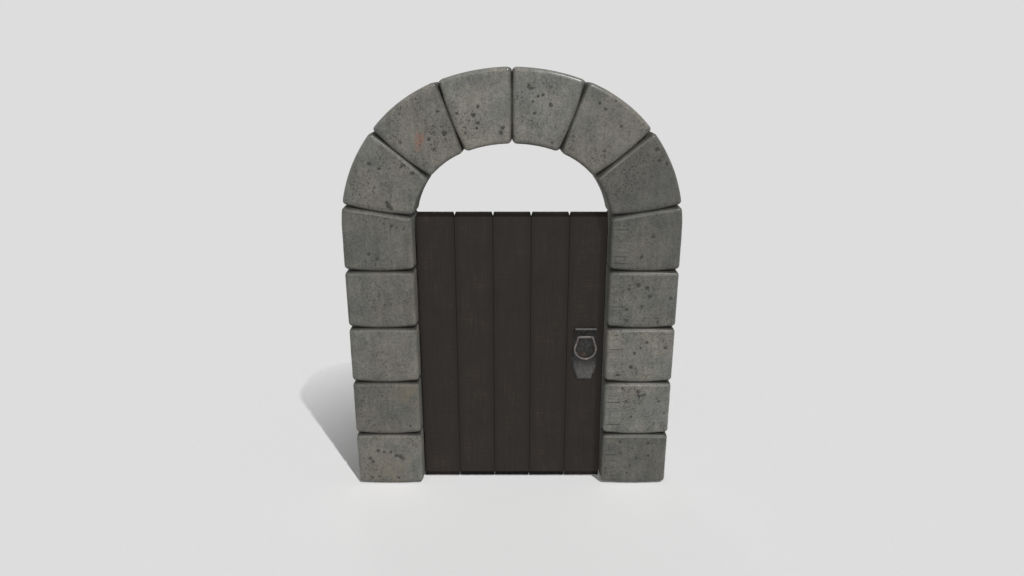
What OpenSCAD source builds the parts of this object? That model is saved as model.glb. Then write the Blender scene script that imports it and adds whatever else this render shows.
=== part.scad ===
// Medieval door: a ledged plank leaf on strap hinges, hung in a three-centred arch of dressed stone.
// Millimetres, Z up, the front faces -Y, the origin lies on the floor under the middle of the arch.

/* [Opening] */
// Clear width between the two jambs
opening_w = 1290; // [1150:10:1450]
// Height of one full course of jamb stones
course_h = 401; // [360:1:440]
// Height of the springing line above the bed of the impost stones
impost_h = 280; // [260:5:340]

/* [Stones] */
// Face width of the stones, on the jambs and on the arch ring
stone_w = 465; // [380:5:520]
// Depth of the stones through the wall
stone_d = 300; // [270:5:360]
// Rounding of the worn stone edges
stone_r = 28; // [12:1:36]

/* [Arch] */
// Radius of the inner curve at the haunches
haunch_r = 526; // [460:1:550]
// Angle from the crown joint to the first joint beside it
crown_angle = 20.5; // [16:0.5:24]
// Slope of the upper bed of the impost stones
skewback = 9; // [6:0.5:11]

/* [Leaf] */
// Gap between the leaf and the stones beside it
side_gap = 7; // [6:0.5:12]
// Gap under the leaf
floor_gap = 10; // [5:1:25]
// Height of the top of the leaf above the springing line
head_rise = 92; // [60:1:110]
// Thickness of the planks
plank_t = 60; // [50:1:70]
// Rounding of the plank edges
plank_r = 14; // [5:1:20]
// Distance from the face of the stones back to the leaf
recess = 105; // [100:5:135]
// Height of a ledge on the back of the planks
ledge_h = 150; // [130:5:180]
// Thickness of a ledge
ledge_t = 40; // [30:1:45]
// Distance from the edge of the leaf to the end of a ledge
ledge_inset = 37; // [30:1:80]
// Chamfer along the edges of a ledge
ledge_chamfer = 8; // [2:1:12]

/* [Hinges] */
// Height of the lower pintle shank above the floor
lower_pintle = 262; // [180:1:290]
// Height of the upper pintle shank above the bed of the impost stone
upper_pintle = 82; // [60:1:150]
// Distance from the jamb to the axis of the pintles
pin_inset = 25; // [23:1:28]
// Radius of the pintle pin
pin_r = 9; // [7:0.5:10]
// Wall of the rolled eye round the pin
eye_wall = 8.7; // [6:0.1:9]
// Clearance of the pin in the eye and of the shank in the stone
hinge_fit = 0.3; // [0.2:0.05:0.5]
// Width and height of the square pintle shank
shank = 22; // [18:1:26]
// Length of the shank inside the stone
shank_depth = 120; // [80:5:160]
// Height of the collar the eye sits on
collar_h = 5; // [3:0.5:8]
// Width of a strap at the eye
strap_w = 50; // [40:1:60]
// Width of a strap at the neck of its tip
strap_neck = 34; // [26:1:40]
// Thickness of a strap
strap_t = 8; // [6:0.5:10]
// Length of a strap on the last plank
strap_lap = 70; // [50:5:110]

/* [Nails] */
// Radius of the nail shanks
nail_r = 4; // [3:0.25:5]
// Radius of the nail heads
nail_head_r = 10; // [8:0.5:12]
// Height of the nail heads
nail_head_h = 5; // [3:0.5:6]
// Depth of the nails in the planks
nail_bite = 40; // [25:1:45]
// Clearance of nails and rivets in their holes
nail_fit = 0.1; // [0.05:0.05:0.3]

/* [Handle] */
// Height of the handle rivets above the middle ledge
handle_rise = 59; // [40:1:70]
// Height of the back plate
plate_h = 403; // [360:1:430]
// Width of the back plate at its top
plate_top = 150; // [140:1:160]
// Width of the back plate where it is widest
plate_mid = 186; // [176:1:200]
// Width of the back plate at its foot
plate_foot = 112; // [90:1:130]
// Thickness of the back plate
plate_t = 8; // [6:0.5:9]
// Bevel round the face of the back plate
plate_bevel = 5; // [2:0.5:5.5]
// Height of the head block that carries the ring
block_h = 54; // [48:1:60]
// Distance the head block stands out from the plate
block_d = 25; // [22:1:28]
// Bevel round the face of the head block
block_bevel = 6; // [2:0.5:8]
// Length of the knuckle under the head block
knuckle_l = 80; // [74:1:100]
// Radius of the knuckle
knuckle_r = 12.5; // [11.5:0.5:14]
// Radius of the ring bar
ring_bar_r = 7.5; // [6:0.5:8]
// Radius of the lower bow of the ring, to the middle of the bar
ring_r = 73; // [68:1:76]
// Drop from the knuckle to the lowest point of the ring, to the middle of the bar
ring_drop = 163; // [155:1:170]
// Clearance of the ring bar in the knuckle and beside it
ring_fit = 0.4; // [0.2:0.1:0.6]
// Radius of the rivets behind the head block
rivet_r = 7; // [5:0.5:9]
// Distance of a rivet from the middle of the handle
rivet_x = 46; // [36:1:54]
// Radius of the washers on the back
rove_r = 20; // [16:1:24]
// Thickness of the washers
rove_t = 4; // [3:0.5:6]

/* [Hidden] */
$fn = 64;
half_w = opening_w / 2;
face_y = -stone_d / 2;
impost_z = 4 * course_h;
spring_z = impost_z + impost_h;
haunch_x = half_w - haunch_r;
crown_r = haunch_r + haunch_x / sin(crown_angle);
crown_z = spring_z - haunch_x / tan(crown_angle);
bed_low = skewback;
bed_top = 90 - crown_angle;
bed_mid = (bed_low + bed_top) / 2;
reach = 900;
leaf_top = spring_z + head_rise;
leaf_half = half_w - side_gap;
head_half = haunch_x + sqrt(haunch_r * haunch_r - head_rise * head_rise) - side_gap;
plank_w = 2 * leaf_half / 5;
leaf_y = face_y + recess;
leaf_back = leaf_y + plank_t;
ledge_back = leaf_back + ledge_t;
strap_back = ledge_back + strap_t;
bore_r = pin_r + hinge_fit;
eye_r = bore_r + eye_wall;
axis_x = -half_w + pin_inset;
axis_y = ledge_back + eye_r;
low_shank_z = lower_pintle;
high_shank_z = impost_z + upper_pintle;
strap_lift = shank / 2 + collar_h + hinge_fit + strap_w / 2;
low_ledge_z = low_shank_z + strap_lift;
high_ledge_z = high_shank_z + strap_lift;
mid_ledge_z = (low_ledge_z + high_ledge_z) / 2;
ledge_half = leaf_half - ledge_inset;
strap_tip = 1.5 * plank_w + strap_lap;
tip_r = strap_neck * 0.72;
nail_dx = plank_w * 0.2;
nail_dz = ledge_h / 2 - nail_head_r - ledge_chamfer - 4;
tip_nail = strap_tip - 2 * tip_r;
handle_x = 2 * plank_w;
rivet_z = mid_ledge_z + ledge_h / 2 + handle_rise;
plate_y = leaf_y - plate_t;
block_low = rivet_z - block_h / 2;
block_high = rivet_z + block_h / 2;
ring_y = plate_y - knuckle_r - 3.5;
ring_z = block_low - ring_bar_r - 2.5;
elbow_r = ring_bar_r + 0.3;
ring_side = knuckle_l / 2 + ring_fit + elbow_r;
bow_z = ring_z - ring_drop + ring_r;
bow_reach = sqrt(ring_side * ring_side + (ring_z - bow_z) * (ring_z - bow_z));
bow_angle = atan2(ring_z - bow_z, ring_side) - acos(ring_r / bow_reach);
leg_l = sqrt(bow_reach * bow_reach - ring_r * ring_r);
plate_high = block_high + 3;
plate_low = plate_high - plate_h;
plate_hip = plate_high - 0.72 * plate_h;
plate_waist = plate_high - 0.46 * plate_h;
plate_outline = [[-plate_foot / 2, plate_low], [plate_foot / 2, plate_low],
                 [plate_mid / 2, plate_hip], [plate_mid / 2, plate_waist],
                 [plate_top / 2, plate_high], [-plate_top / 2, plate_high],
                 [-plate_mid / 2, plate_waist], [-plate_mid / 2, plate_hip]];
block_outline = [[-plate_top / 2, block_low], [plate_top / 2, block_low],
                 [plate_top / 2, block_high], [-plate_top / 2, block_high]];
ledge_levels = [low_ledge_z, mid_ledge_z, high_ledge_z];
strap_levels = [low_ledge_z, high_ledge_z];

stone_grey = [0.46, 0.45, 0.42];
wood_brown = [0.22, 0.19, 0.16];
iron_grey = [0.27, 0.27, 0.28];

// Flat outlines and the directions they are drawn out in
module rounded_rect(x0, x1, y0, y1, r) {
    translate([x0 + r, y0]) square([x1 - x0 - 2 * r, y1 - y0]);
    translate([x0, y0 + r]) square([x1 - x0, y1 - y0 - 2 * r]);
    for (x = [x0 + r, x1 - r])
        for (y = [y0 + r, y1 - r])
            translate([x, y]) circle(r);
}

module along_x(x0, x1) {
    translate([x0, 0, 0]) rotate([90, 0, 90]) linear_extrude(x1 - x0) children();
}

module along_y(y0, y1) {
    translate([0, y1, 0]) rotate([90, 0, 0]) linear_extrude(y1 - y0) children();
}

module along_z(z0, z1) {
    translate([0, 0, z0]) linear_extrude(z1 - z0) children();
}

// Block with all its edges rounded
module rounded_block(x0, x1, y0, y1, z0, z1, r) {
    intersection() {
        along_z(z0, z1) rounded_rect(x0, x1, y0, y1, r);
        along_y(y0, y1) rounded_rect(x0, x1, z0, z1, r);
        along_x(x0, x1) rounded_rect(y0, y1, z0, z1, r);
    }
}

// Band of stone turned round one centre of the arch
module arch_band(cx, cz, r) {
    translate([cx, 0, cz]) rotate([90, 0, 0]) rotate_extrude($fn = 128)
        rounded_rect(r, r + stone_w, face_y, -face_y, stone_r);
}

// All that lies on one side of a bed, rounded where the bed meets the front and the back
module beyond_bed(cx, cz, angle, side) {
    translate([cx, 0, cz]) rotate([0, -angle, 0])
        along_x(1, crown_r + stone_w + reach)
            rounded_rect(face_y, -face_y, side > 0 ? 0 : -reach, side > 0 ? reach : 0, stone_r);
}

// Waste at the corner between a bed and a curved face; out is 1 on the outer curve, -1 on the inner
module bed_corner(cx, cz, angle, side, r, out) {
    mid = r - out * stone_r;
    u = sqrt(mid * mid - stone_r * stone_r);
    c = [u, side * stone_r];
    along_y(face_y - 1, 1 - face_y)
        translate([cx, cz]) rotate(angle) difference() {
            polygon([c, [u, -side * 0.4 * stone_r], [r + out * stone_r, -side * stone_r],
                     c + (c * r / mid - c) * 1.4]);
            translate(c) circle(stone_r * 1.015);
        }
}

// Voussoir between two beds of one centre
module voussoir(cx, cz, r, low, high) {
    difference() {
        intersection() {
            arch_band(cx, cz, r);
            beyond_bed(cx, cz, low, 1);
            beyond_bed(cx, cz, high, -1);
        }
        bed_corner(cx, cz, low, 1, r, -1);
        bed_corner(cx, cz, low, 1, r + stone_w, 1);
        bed_corner(cx, cz, high, -1, r, -1);
        bed_corner(cx, cz, high, -1, r + stone_w, 1);
    }
}

// Stone beside the crown joint, which stands upright over the middle of the opening
module crown_stone() {
    top = crown_r + stone_w;
    difference() {
        intersection() {
            arch_band(0, crown_z, crown_r);
            beyond_bed(0, crown_z, bed_top, 1);
            along_z(crown_z + crown_r / 2, crown_z + top + 10)
                rounded_rect(0, reach, face_y, -face_y, stone_r);
        }
        bed_corner(0, crown_z, bed_top, 1, crown_r, -1);
        bed_corner(0, crown_z, bed_top, 1, top, 1);
        bed_corner(0, crown_z, 90, -1, crown_r, -1);
        bed_corner(0, crown_z, 90, -1, top, 1);
    }
}

module jamb_stone(course) {
    rounded_block(half_w, half_w + stone_w, face_y, -face_y, (course - 1) * course_h, course * course_h,
                  stone_r);
}

// Impost stone: straight below the springing line, curved above it, with a sloping upper bed
module impost_stone() {
    difference() {
        intersection() {
            union() {
                along_z(impost_z, spring_z) rounded_rect(half_w, half_w + stone_w, face_y, -face_y, stone_r);
                intersection() {
                    arch_band(haunch_x, spring_z, haunch_r);
                    translate([half_w / 2, face_y, spring_z])
                        cube([half_w / 2 + stone_w + 5, stone_d, reach / 4]);
                }
            }
            beyond_bed(haunch_x, spring_z, bed_low, -1);
            along_x(half_w / 2, half_w + stone_w + 10)
                rounded_rect(face_y, -face_y, impost_z, impost_z + reach, stone_r);
            along_y(face_y, -face_y)
                rounded_rect(half_w, half_w + stone_w, impost_z, impost_z + reach, stone_r);
        }
        bed_corner(haunch_x, spring_z, bed_low, -1, haunch_r, -1);
        bed_corner(haunch_x, spring_z, bed_low, -1, haunch_r + stone_w, 1);
    }
}

// Socket in the reveal of the left jamb for the shank of a pintle
module shank_socket(z) {
    grip = shank / 2 + hinge_fit;
    translate([-half_w - shank_depth - hinge_fit, axis_y - grip, z - grip])
        cube([shank_depth + hinge_fit + 1, 2 * grip, 2 * grip]);
}

// Iron hook in the jamb: a square shank with a collar and a round pin
module pintle(z) {
    pin_top = z + strap_lift + strap_w / 2 + 8;
    translate([-half_w - shank_depth, axis_y - shank / 2, z - shank / 2])
        cube([shank_depth + pin_inset + shank / 2, shank, shank]);
    translate([axis_x, axis_y, z]) cylinder(r = pin_r + 5, h = shank / 2 + collar_h);
    translate([axis_x, axis_y, z]) cylinder(r = pin_r, h = pin_top - 4 - z);
    translate([axis_x, axis_y, pin_top - 4]) cylinder(r1 = pin_r, r2 = pin_r - 3, h = 4);
}

// Holes for the nails, from the back of the leaf into the planks
module nail_hole(x, z) {
    translate([x, strap_back + 1, z]) rotate([90, 0, 0])
        cylinder(r = nail_r + nail_fit, h = strap_back + 2 + nail_bite - leaf_back);
}

function plank_x(i) = (i - 3) * plank_w;
function strap_nail_x(i) = i < 5 ? plank_x(i) : tip_nail;

module plank_nail_holes(i) {
    for (z = ledge_levels)
        for (s = [-1, 1])
            nail_hole(plank_x(i) + s * nail_dx, z - s * nail_dz);
    for (z = strap_levels)
        nail_hole(strap_nail_x(i), z);
}

module rivet_holes() {
    for (s = [-1, 1])
        translate([handle_x + s * rivet_x, leaf_back + 1, rivet_z]) rotate([90, 0, 0])
            cylinder(r = rivet_r + nail_fit, h = plank_t + plate_t + 2);
}

// Waste at the upper corner of the leaf, sloped so that the leaf clears the curve of the arch
module head_corner() {
    foot = [leaf_half, spring_z];
    head = [head_half, leaf_top];
    slope = head - foot;
    along_y(leaf_y - 1, leaf_back + 1)
        polygon([foot - slope * 0.2, [leaf_half + stone_r, spring_z - slope[1] * 0.2],
                 [leaf_half + stone_r, leaf_top + slope[1] * 0.4], head + slope * 0.4]);
}

module plank(i) {
    difference() {
        rounded_block(plank_x(i) - plank_w / 2, plank_x(i) + plank_w / 2, leaf_y, leaf_back, floor_gap,
                      leaf_top, plank_r);
        plank_nail_holes(i);
        if (i == 5) rivet_holes();
        if (i == 5) head_corner();
        if (i == 1) mirror([1, 0, 0]) head_corner();
    }
}

module ledge(z) {
    difference() {
        along_x(-ledge_half, ledge_half)
            polygon([[leaf_back, z - ledge_h / 2], [ledge_back - ledge_chamfer, z - ledge_h / 2],
                     [ledge_back, z - ledge_h / 2 + ledge_chamfer],
                     [ledge_back, z + ledge_h / 2 - ledge_chamfer],
                     [ledge_back - ledge_chamfer, z + ledge_h / 2], [leaf_back, z + ledge_h / 2]]);
        for (i = [1:5])
            for (s = [-1, 1])
                nail_hole(plank_x(i) + s * nail_dx, z - s * nail_dz);
        if (z != mid_ledge_z)
            for (i = [1:5])
                nail_hole(strap_nail_x(i), z);
    }
}

// Strap rolled into an eye round the pintle, tapering to a spear tip
module strap_hinge(z) {
    difference() {
        union() {
            along_y(ledge_back, strap_back) {
                polygon([[axis_x, z - strap_w / 2], [tip_nail, z - strap_neck / 2],
                         [tip_nail, z + strap_neck / 2], [axis_x, z + strap_w / 2]]);
                translate([tip_nail, z]) circle(tip_r);
                polygon([[tip_nail, z - tip_r * 0.9], [strap_tip, z], [tip_nail, z + tip_r * 0.9]]);
            }
            translate([axis_x, axis_y, z - strap_w / 2]) cylinder(r = eye_r, h = strap_w);
        }
        translate([axis_x, axis_y, z - strap_w / 2 - 1]) cylinder(r = bore_r, h = strap_w + 2);
        for (i = [1:5])
            nail_hole(strap_nail_x(i), z);
    }
}

// Rose-headed nail driven towards the front
module nail(x, seat, z) {
    translate([x, seat, z]) rotate([90, 0, 0]) cylinder(r = nail_r, h = seat - leaf_back + nail_bite);
    translate([x, seat, z]) rotate([-90, 0, 0])
        cylinder(r1 = nail_head_r, r2 = nail_head_r * 0.35, h = nail_head_h);
}

// Corners of a convex outline drawn in by a distance
function unit(v) = v / norm(v);
function inward(p, q) = [-unit(q - p)[1], unit(q - p)[0]];
function drawn_in(outline, d) = [
    for (i = [0:len(outline) - 1])
        let (last = outline[(i + len(outline) - 1) % len(outline)],
             next = outline[(i + 1) % len(outline)],
             a = inward(last, outline[i]),
             b = inward(outline[i], next))
        outline[i] + (a + b) * d / (1 + a * b)
];

// Plate with a bevel round the face that looks to the front
module bevelled_plate(outline, y0, y1, size) {
    n = len(outline);
    face = drawn_in(outline, size);
    polyhedron(
        points = concat([for (p = outline) [p[0], y1, p[1]]],
                        [for (p = outline) [p[0], y0 + size, p[1]]],
                        [for (p = face) [p[0], y0, p[1]]]),
        faces = concat([[for (i = [0:n - 1]) i]],
                       [for (k = [0, n])
                            for (i = [0:n - 1])
                                [k + i, k + n + i, k + n + (i + 1) % n, k + (i + 1) % n]],
                       [[for (i = [n - 1:-1:0]) 2 * n + i]]));
}

module jamb_stone_left_1() {
    color(stone_grey) difference() {
        mirror([1, 0, 0]) jamb_stone(1);
        shank_socket(low_shank_z);
    }
}

module jamb_stone_left_2() {
    color(stone_grey) mirror([1, 0, 0]) jamb_stone(2);
}

module jamb_stone_left_3() {
    color(stone_grey) mirror([1, 0, 0]) jamb_stone(3);
}

module jamb_stone_left_4() {
    color(stone_grey) mirror([1, 0, 0]) jamb_stone(4);
}

module jamb_stone_right_1() {
    color(stone_grey) jamb_stone(1);
}

module jamb_stone_right_2() {
    color(stone_grey) jamb_stone(2);
}

module jamb_stone_right_3() {
    color(stone_grey) jamb_stone(3);
}

module jamb_stone_right_4() {
    color(stone_grey) jamb_stone(4);
}

module impost_stone_left() {
    color(stone_grey) difference() {
        mirror([1, 0, 0]) impost_stone();
        shank_socket(high_shank_z);
    }
}

module impost_stone_right() {
    color(stone_grey) impost_stone();
}

module springer_left() {
    color(stone_grey) mirror([1, 0, 0]) voussoir(haunch_x, spring_z, haunch_r, bed_low, bed_mid);
}

module springer_right() {
    color(stone_grey) voussoir(haunch_x, spring_z, haunch_r, bed_low, bed_mid);
}

module haunch_stone_left() {
    color(stone_grey) mirror([1, 0, 0]) voussoir(haunch_x, spring_z, haunch_r, bed_mid, bed_top);
}

module haunch_stone_right() {
    color(stone_grey) voussoir(haunch_x, spring_z, haunch_r, bed_mid, bed_top);
}

module crown_stone_left() {
    color(stone_grey) mirror([1, 0, 0]) crown_stone();
}

module crown_stone_right() {
    color(stone_grey) crown_stone();
}

module pintle_lower() {
    color(iron_grey) pintle(low_shank_z);
}

module pintle_upper() {
    color(iron_grey) pintle(high_shank_z);
}

module plank_1() {
    color(wood_brown) plank(1);
}

module plank_2() {
    color(wood_brown) plank(2);
}

module plank_3() {
    color(wood_brown) plank(3);
}

module plank_4() {
    color(wood_brown) plank(4);
}

module plank_5() {
    color(wood_brown) plank(5);
}

module ledge_lower() {
    color(wood_brown) ledge(low_ledge_z);
}

module ledge_middle() {
    color(wood_brown) ledge(mid_ledge_z);
}

module ledge_upper() {
    color(wood_brown) ledge(high_ledge_z);
}

module strap_hinge_lower() {
    color(iron_grey) strap_hinge(low_ledge_z);
}

module strap_hinge_upper() {
    color(iron_grey) strap_hinge(high_ledge_z);
}

// Nails that hold the ledges to the planks
module ledge_nails() {
    color(iron_grey)
        for (z = ledge_levels)
            for (i = [1:5])
                for (s = [-1, 1])
                    nail(plank_x(i) + s * nail_dx, ledge_back, z - s * nail_dz);
}

// Nails that hold the straps to the ledges and planks
module strap_nails() {
    color(iron_grey)
        for (z = strap_levels)
            for (i = [1:5])
                nail(strap_nail_x(i), strap_back, z);
}

// Coffin-shaped back plate of the ring handle
module handle_plate() {
    color(iron_grey) difference() {
        translate([handle_x, 0, 0]) bevelled_plate(plate_outline, plate_y, leaf_y, plate_bevel);
        rivet_holes();
    }
}

// Head block with the knuckle for the ring, riveted through the plate and the plank
module handle_head() {
    color(iron_grey) difference() {
        union() {
            translate([handle_x, 0, 0])
                bevelled_plate(block_outline, plate_y - block_d, plate_y, block_bevel);
            translate([handle_x - knuckle_l / 2, ring_y, ring_z]) rotate([0, 90, 0])
                cylinder(r = knuckle_r, h = knuckle_l);
            for (s = [-1, 1])
                translate([handle_x + s * rivet_x, plate_y - 2, rivet_z]) rotate([-90, 0, 0]) {
                    cylinder(r = rivet_r, h = plate_t + plank_t + rove_t + 4);
                    translate([0, 0, plate_t + plank_t + rove_t + 2])
                        cylinder(r1 = rivet_r + 4, r2 = rivet_r, h = 4);
                }
        }
        translate([handle_x - knuckle_l / 2 - 1, ring_y, ring_z]) rotate([0, 90, 0])
            cylinder(r = ring_bar_r + ring_fit, h = knuckle_l + 2);
    }
}

// Washers under the rivets on the back
module handle_roves() {
    color(iron_grey)
        for (s = [-1, 1])
            translate([handle_x + s * rivet_x, leaf_back, rivet_z]) rotate([-90, 0, 0]) difference() {
                cylinder(r = rove_r, h = rove_t);
                translate([0, 0, -1]) cylinder(r = rivet_r + nail_fit, h = rove_t + 2);
            }
}

// Ring with a straight bar in the knuckle, two legs and a round bow
module ring_pull() {
    color(iron_grey) translate([handle_x, ring_y, 0]) {
        translate([-ring_side, 0, ring_z]) rotate([0, 90, 0]) cylinder(r = ring_bar_r, h = 2 * ring_side);
        for (s = [-1, 1])
            translate([s * ring_side, 0, ring_z]) {
                sphere(elbow_r);
                rotate([0, s * (180 - bow_angle), 0]) cylinder(r = ring_bar_r - 0.25, h = leg_l + 1);
            }
        translate([0, 0, bow_z]) rotate([90, 0, 0]) rotate([0, 0, 180 - bow_angle])
            rotate_extrude(angle = 180 + 2 * bow_angle) translate([ring_r, 0]) circle(ring_bar_r);
    }
}

jamb_stone_left_1();
jamb_stone_left_2();
jamb_stone_left_3();
jamb_stone_left_4();
jamb_stone_right_1();
jamb_stone_right_2();
jamb_stone_right_3();
jamb_stone_right_4();
impost_stone_left();
impost_stone_right();
springer_left();
springer_right();
haunch_stone_left();
haunch_stone_right();
crown_stone_left();
crown_stone_right();
pintle_lower();
pintle_upper();
plank_1();
plank_2();
plank_3();
plank_4();
plank_5();
ledge_lower();
ledge_middle();
ledge_upper();
strap_hinge_lower();
strap_hinge_upper();
ledge_nails();
strap_nails();
handle_plate();
handle_head();
handle_roves();
ring_pull();
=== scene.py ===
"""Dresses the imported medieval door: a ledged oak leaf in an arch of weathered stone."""

import logging
import math
from collections.abc import Iterator
from dataclasses import dataclass, field
from enum import Enum

import bmesh
import bpy
from mathutils import Matrix, Vector, noise


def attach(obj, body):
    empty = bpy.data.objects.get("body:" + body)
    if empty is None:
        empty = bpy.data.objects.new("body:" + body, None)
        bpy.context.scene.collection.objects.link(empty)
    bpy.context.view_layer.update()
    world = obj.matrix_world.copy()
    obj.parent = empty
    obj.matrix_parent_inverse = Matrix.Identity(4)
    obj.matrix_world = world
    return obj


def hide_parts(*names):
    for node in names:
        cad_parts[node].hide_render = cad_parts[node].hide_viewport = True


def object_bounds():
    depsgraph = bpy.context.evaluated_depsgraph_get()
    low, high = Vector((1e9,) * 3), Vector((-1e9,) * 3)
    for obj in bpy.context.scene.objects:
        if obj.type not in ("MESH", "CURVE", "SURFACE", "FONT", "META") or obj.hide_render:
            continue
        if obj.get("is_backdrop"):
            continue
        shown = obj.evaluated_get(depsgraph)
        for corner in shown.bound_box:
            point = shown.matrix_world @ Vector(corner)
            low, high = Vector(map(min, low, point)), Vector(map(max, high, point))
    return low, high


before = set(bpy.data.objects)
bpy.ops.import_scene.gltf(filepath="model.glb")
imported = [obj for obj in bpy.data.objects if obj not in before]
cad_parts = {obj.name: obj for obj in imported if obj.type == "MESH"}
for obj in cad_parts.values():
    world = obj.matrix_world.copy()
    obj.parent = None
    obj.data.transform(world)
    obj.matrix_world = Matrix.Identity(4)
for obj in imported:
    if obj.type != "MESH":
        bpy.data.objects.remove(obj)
CAD_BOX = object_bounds()
LOG = logging.getLogger("medieval_door")

Colour = tuple[float, float, float]


def ease(value: float, low: float, high: float) -> float:
    """Smooth step.

    Args:
        value: Number to map.
        low: Number that gives 0.
        high: Number that gives 1.

    Returns:
        The eased share between low and high.
    """
    share = max(0.0, min(1.0, (value - low) / (high - low)))
    return share * share * (3.0 - 2.0 * share)


def srgb(red: int, green: int, blue: int) -> Colour:
    """Linear colour of a screen colour.

    Args:
        red: Red from 0 to 255.
        green: Green from 0 to 255.
        blue: Blue from 0 to 255.

    Returns:
        The colour as the shader takes it.
    """
    shares = (red / 255.0, green / 255.0, blue / 255.0)
    return tuple(s / 12.92 if s <= 0.04045 else ((s + 0.055) / 1.055) ** 2.4 for s in shares)


class Signal:
    """An output socket that Python's own operators work on."""

    def __init__(self, graph: "Graph", socket: bpy.types.NodeSocket) -> None:
        """Keeps the socket and the graph that it belongs to."""
        self.graph = graph
        self.socket = socket

    def __add__(self, other: "Value") -> "Signal":
        """Sum of two values."""
        return self.graph.math("ADD", self, other)

    __radd__ = __add__

    def __sub__(self, other: "Value") -> "Signal":
        """Difference of two values."""
        return self.graph.math("SUBTRACT", self, other)

    def __rsub__(self, other: "Value") -> "Signal":
        """Difference with the value on the right."""
        return self.graph.math("SUBTRACT", other, self)

    def __mul__(self, other: "Value") -> "Signal":
        """Product of two values."""
        return self.graph.math("MULTIPLY", self, other)

    __rmul__ = __mul__

    def __truediv__(self, other: "Value") -> "Signal":
        """Quotient of two values."""
        return self.graph.math("DIVIDE", self, other)

    def __rtruediv__(self, other: "Value") -> "Signal":
        """Quotient with the value below the line."""
        return self.graph.math("DIVIDE", other, self)

    def __pow__(self, other: "Value") -> "Signal":
        """Power of a value."""
        return self.graph.math("POWER", self, other)


Value = Signal | float
Paint = Signal | Colour


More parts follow.
